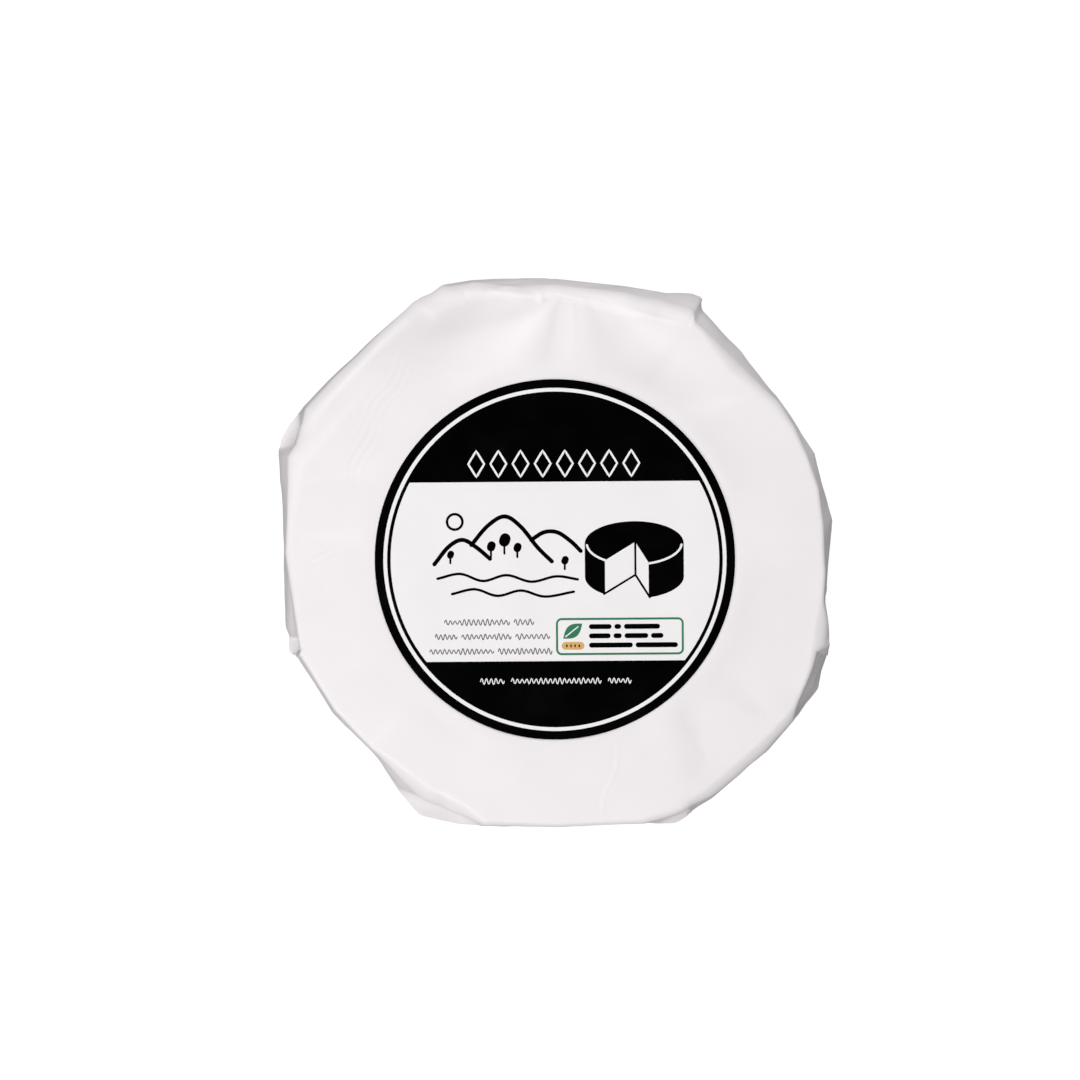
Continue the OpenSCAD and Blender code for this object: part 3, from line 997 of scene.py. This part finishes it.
# %% Hills and trees
PEN = 0.8
FINE_PEN = 0.5
hills = (
    ((-23.4, -0.8), (-20.6, 2.6), (-17.9, 3.9), (-15.2, 2.4), (-12.6, 0.2)),
    ((-16.2, 2.9), (-13.0, 6.6), (-9.7, 8.4), (-6.6, 6.4), (-3.4, 2.4), (-0.6, -0.4)),
    ((-4.6, 3.8), (-2.0, 5.3), (0.6, 5.2), (3.2, 3.4), (5.0, 1.6)),
)
black += [(stroke(curve(points), PEN), False) for points in hills]
valley = ((-22.8, -3.6), (-18.4, -2.7), (-14.0, -4.1), (-9.4, -3.0), (-4.6, -4.3), (0.2, -3.3), (4.4, -3.9))
stream = ((-20.0, -6.6), (-15.6, -5.7), (-11.2, -7.0), (-6.6, -6.0), (-2.0, -7.2), (3.6, -6.3))
black += [(stroke(curve(points), FINE_PEN), False) for points in (valley, stream)]


def tree(x, y, height):
    """A trunk and a round crown, drawn as two strokes."""
    crown = np.array([(x, y + 0.7 * height), (x + 0.05 * height, y + 0.85 * height)])
    trunk = np.array([(x, y), (x, y + 0.6 * height)])
    return [(stroke(trunk, 0.4), False), (stroke(crown, 0.62 * height), False)]


for place in ((-12.4, 0.6, 2.6), (-9.8, 1.2, 3.4), (-7.3, 0.5, 2.4), (1.9, -1.9, 2.2), (-20.3, -0.6, 2.1)):
    black += tree(*place)
sun = np.array([-19.4, 7.4]) + 1.5 * ellipse(np.linspace(0, 2 * np.pi, 40, endpoint=False))
black.append((stroke(sun, FINE_PEN, closed=True), True))
print(len(black), "black shapes so far")

# %% [markdown]
# Words are left out, because they would name a maker. Fine pen waves and plain dashes take their place,
# with the same length and weight, so that the label keeps its balance of light and dark.

# %% Marks that stand for words
LOZENGES = 8
LOZENGE_X, LOZENGE_Y = -0.1, 18.6  # the middle of the row
LOZENGE_STEP = 4.3
half_wide, half_high = 1.55, 2.55
to_next = np.linspace(0, 1, 6, endpoint=False)[:, None]
for i in range(LOZENGES):
    x = LOZENGE_X + LOZENGE_STEP * (i - (LOZENGES - 1) / 2)
    lozenge = np.array([(x - half_wide, LOZENGE_Y), (x, LOZENGE_Y + half_high),
                        (x + half_wide, LOZENGE_Y), (x, LOZENGE_Y - half_high)])
    sides = [a + (b - a) * to_next for a, b in zip(lozenge, np.roll(lozenge, -1, axis=0))]
    white.append((stroke(np.concatenate(sides), 0.4, closed=True), True))

# every row of words: its height on the label, its left end, and the lengths of its words
grey = []
rows_of_words = ((-12.15, -21.5, (12.6, 3.8)), (-14.95, -23.3, (4.2, 9.6, 6.6)), (-17.8, -24.4, (12.4, 10.4)))
for row, (y, left, words) in enumerate(rows_of_words):
    grey += [(scribble(x, y, length, 1.4, seed=10 * row + k), False)
             for k, x, length in word_places(left, words, gap=0.9)]
for y, words in ((-13.1, (4.4, 1.3, 7.0)), (-14.9, (4.2, 1.6, 4.6, 2.4)), (-16.7, (8.5, 8.2))):
    black += [(dash(x, y, length, 0.95), False) for _, x, length in word_places(6.5, words, gap=0.55)]
white += [(scribble(x, -23.6, length, 1.3, seed=50 + k), False)
          for k, x, length in word_places(-14.6, (4.6, 17.4, 4.4), gap=1.4)]
print(len(white), "white shapes,", len(grey), "grey shapes")

# %% [markdown]
# A small green frame closes the last line. It holds a leaf over a tan bar, beside three rows of dashes.

# %% The little framed mark
BOX = (0.3, -18.4, 24.7, -11.6)  # left, bottom, right, top
CORNER = 0.9
turn = np.radians(np.linspace(0, 90, 7))
centres = ((BOX[2] - CORNER, BOX[3] - CORNER), (BOX[0] + CORNER, BOX[3] - CORNER),
           (BOX[0] + CORNER, BOX[1] + CORNER), (BOX[2] - CORNER, BOX[1] + CORNER))
quarters = [turn + k * np.pi / 2 for k in range(4)]
corners = [np.array(c) + CORNER * ellipse(q) for c, q in zip(centres, quarters)]
frame_line = np.concatenate([np.concatenate([a, a[-1] + (b[0] - a[-1]) * np.linspace(0, 1, 10)[1:-1, None]])
                             for a, b in zip(corners, corners[1:] + corners[:1])])
LEAF_A, LEAF_B = np.array([1.5, -15.4]), np.array([5.2, -12.5])
LEAF_SIDE = np.array([(-0.617, 0.787)])  # square to the leaf's spine, one unit long
LEAF_HALF_WIDE = 1.25
along_leaf = np.linspace(0, 1, 17)[:, None]
spine = LEAF_A + (LEAF_B - LEAF_A) * along_leaf
bulge = LEAF_HALF_WIDE * np.sin(np.pi * along_leaf) * LEAF_SIDE
green = [(stroke(frame_line, 0.4, closed=True), True), (between(spine - bulge, spine + bulge, rows=3), False)]
white.append((stroke(np.array([LEAF_A + (0.5, 0.4), LEAF_B - (0.8, 0.6)]), 0.22), False))
tan = [(dash(1.2, -16.8, 4.4, 1.5), False)]
lines += [(stroke(np.array([(x, -16.65), (x, -16.95)]), 0.26), False) for x in (2.2, 3.0, 3.8, 4.6)]
print("frame of", len(frame_line), "points")

# %% [markdown]
# Each ink becomes one piece, as each was laid on by one plate of the press.

# %% Pieces of print
PRINT_LOW = LABEL_T - 0.05  # every plate starts inside the label's paper, so no gap can show


def ink_piece(name, slot, *levels):
    """One piece of print from its levels: each a list of shapes, and the height that they reach."""
    plates = [plate(printed(grid), PRINT_LOW, top, wrap) for shapes, top in levels for grid, wrap in shapes]
    return plates_piece(name, plates)


black_print = ink_piece("label_black_print", "label_black", (black, INK_TOP), (lines, LINE_TOP))
grey_print = ink_piece("label_grey_print", "label_grey", (grey, INK_TOP))
green_print = ink_piece("label_green_print", "label_green", (green, INK_TOP))
tan_print = ink_piece("label_tan_print", "label_tan", (tan, INK_TOP))
white_print = ink_piece("label_white_print", "label_white", (white, OVER_TOP))

# %% [markdown]
# Coated paper takes ink without soaking it up, so the print has a soft shine. Each layer is two near
# shades in soft patches, and it is shinier in some of them, as rollers never lay ink on quite evenly.

# %% Materials of the label
def printed_material(name, dark, light, roughness, patch_mm=7.0, wave_mm=0.03, mirror=0.5):
    """A thin printed or coated layer: two near shades in soft patches, and shine that varies with them."""
    material = new_material(name)
    place = add_node(material, "ShaderNodeTexCoord", "Object")
    patches = add_node(material, "ShaderNodeTexNoise", "Fac",
                       {"Scale": 1 / (patch_mm * MM), "Detail": 3.0}, {"Vector": place})
    tint = add_node(material, "ShaderNodeMix", "Result", {"A": linear(dark), "B": linear(light)},
                    {"Factor": patches}, data_type="RGBA")
    shine = add_node(material, "ShaderNodeMapRange", "Result",
                     {"From Min": 0.3, "From Max": 0.7, "To Min": roughness, "To Max": roughness + 0.12},
                     {"Value": patches})
    waves = add_node(material, "ShaderNodeBump", "Normal", {"Strength": 0.5, "Distance": wave_mm * MM},
                     {"Height": patches})
    surface(material, {"IOR": 1.45, "Specular IOR Level": mirror},
            {"Base Color": tint, "Roughness": shine, "Normal": waves})
    return material


LAYERS = (
    # wood pulp under a smooth coat of clay: a cool white, left bare wherever the print is white
    ("coated_label_paper", "#E8E5E6", "#ECE9EA", 0.4, {}, (label_paper, white_print)),
    # a full solid of black, varnished smooth, in waves where the label is not quite flat
    ("black_offset_ink", "#010101", "#030303", 0.18, {"wave_mm": 0.08, "mirror": 0.08}, (black_print,)),
    # black ink in strokes so fine that it spreads thin and dries dull
    ("thin_grey_ink", "#4A4A4C", "#5E5E60", 0.45, {"patch_mm": 0.8}, (grey_print,)),
    # two spot colours, each laid on once
    ("green_ink", "#1E6B47", "#2B7A55", 0.4, {"patch_mm": 1.5}, (green_print,)),
    ("tan_ink", "#C79A5B", "#D6AC6E", 0.4, {"patch_mm": 1.5}, (tan_print,)),
)
for name, dark, light, roughness, settings, pieces in LAYERS:
    layer = printed_material(name, dark, light, roughness, **settings)
    for piece in pieces:
        piece.data.materials.append(layer)
print("materials:", [m.name for m in bpy.data.materials])
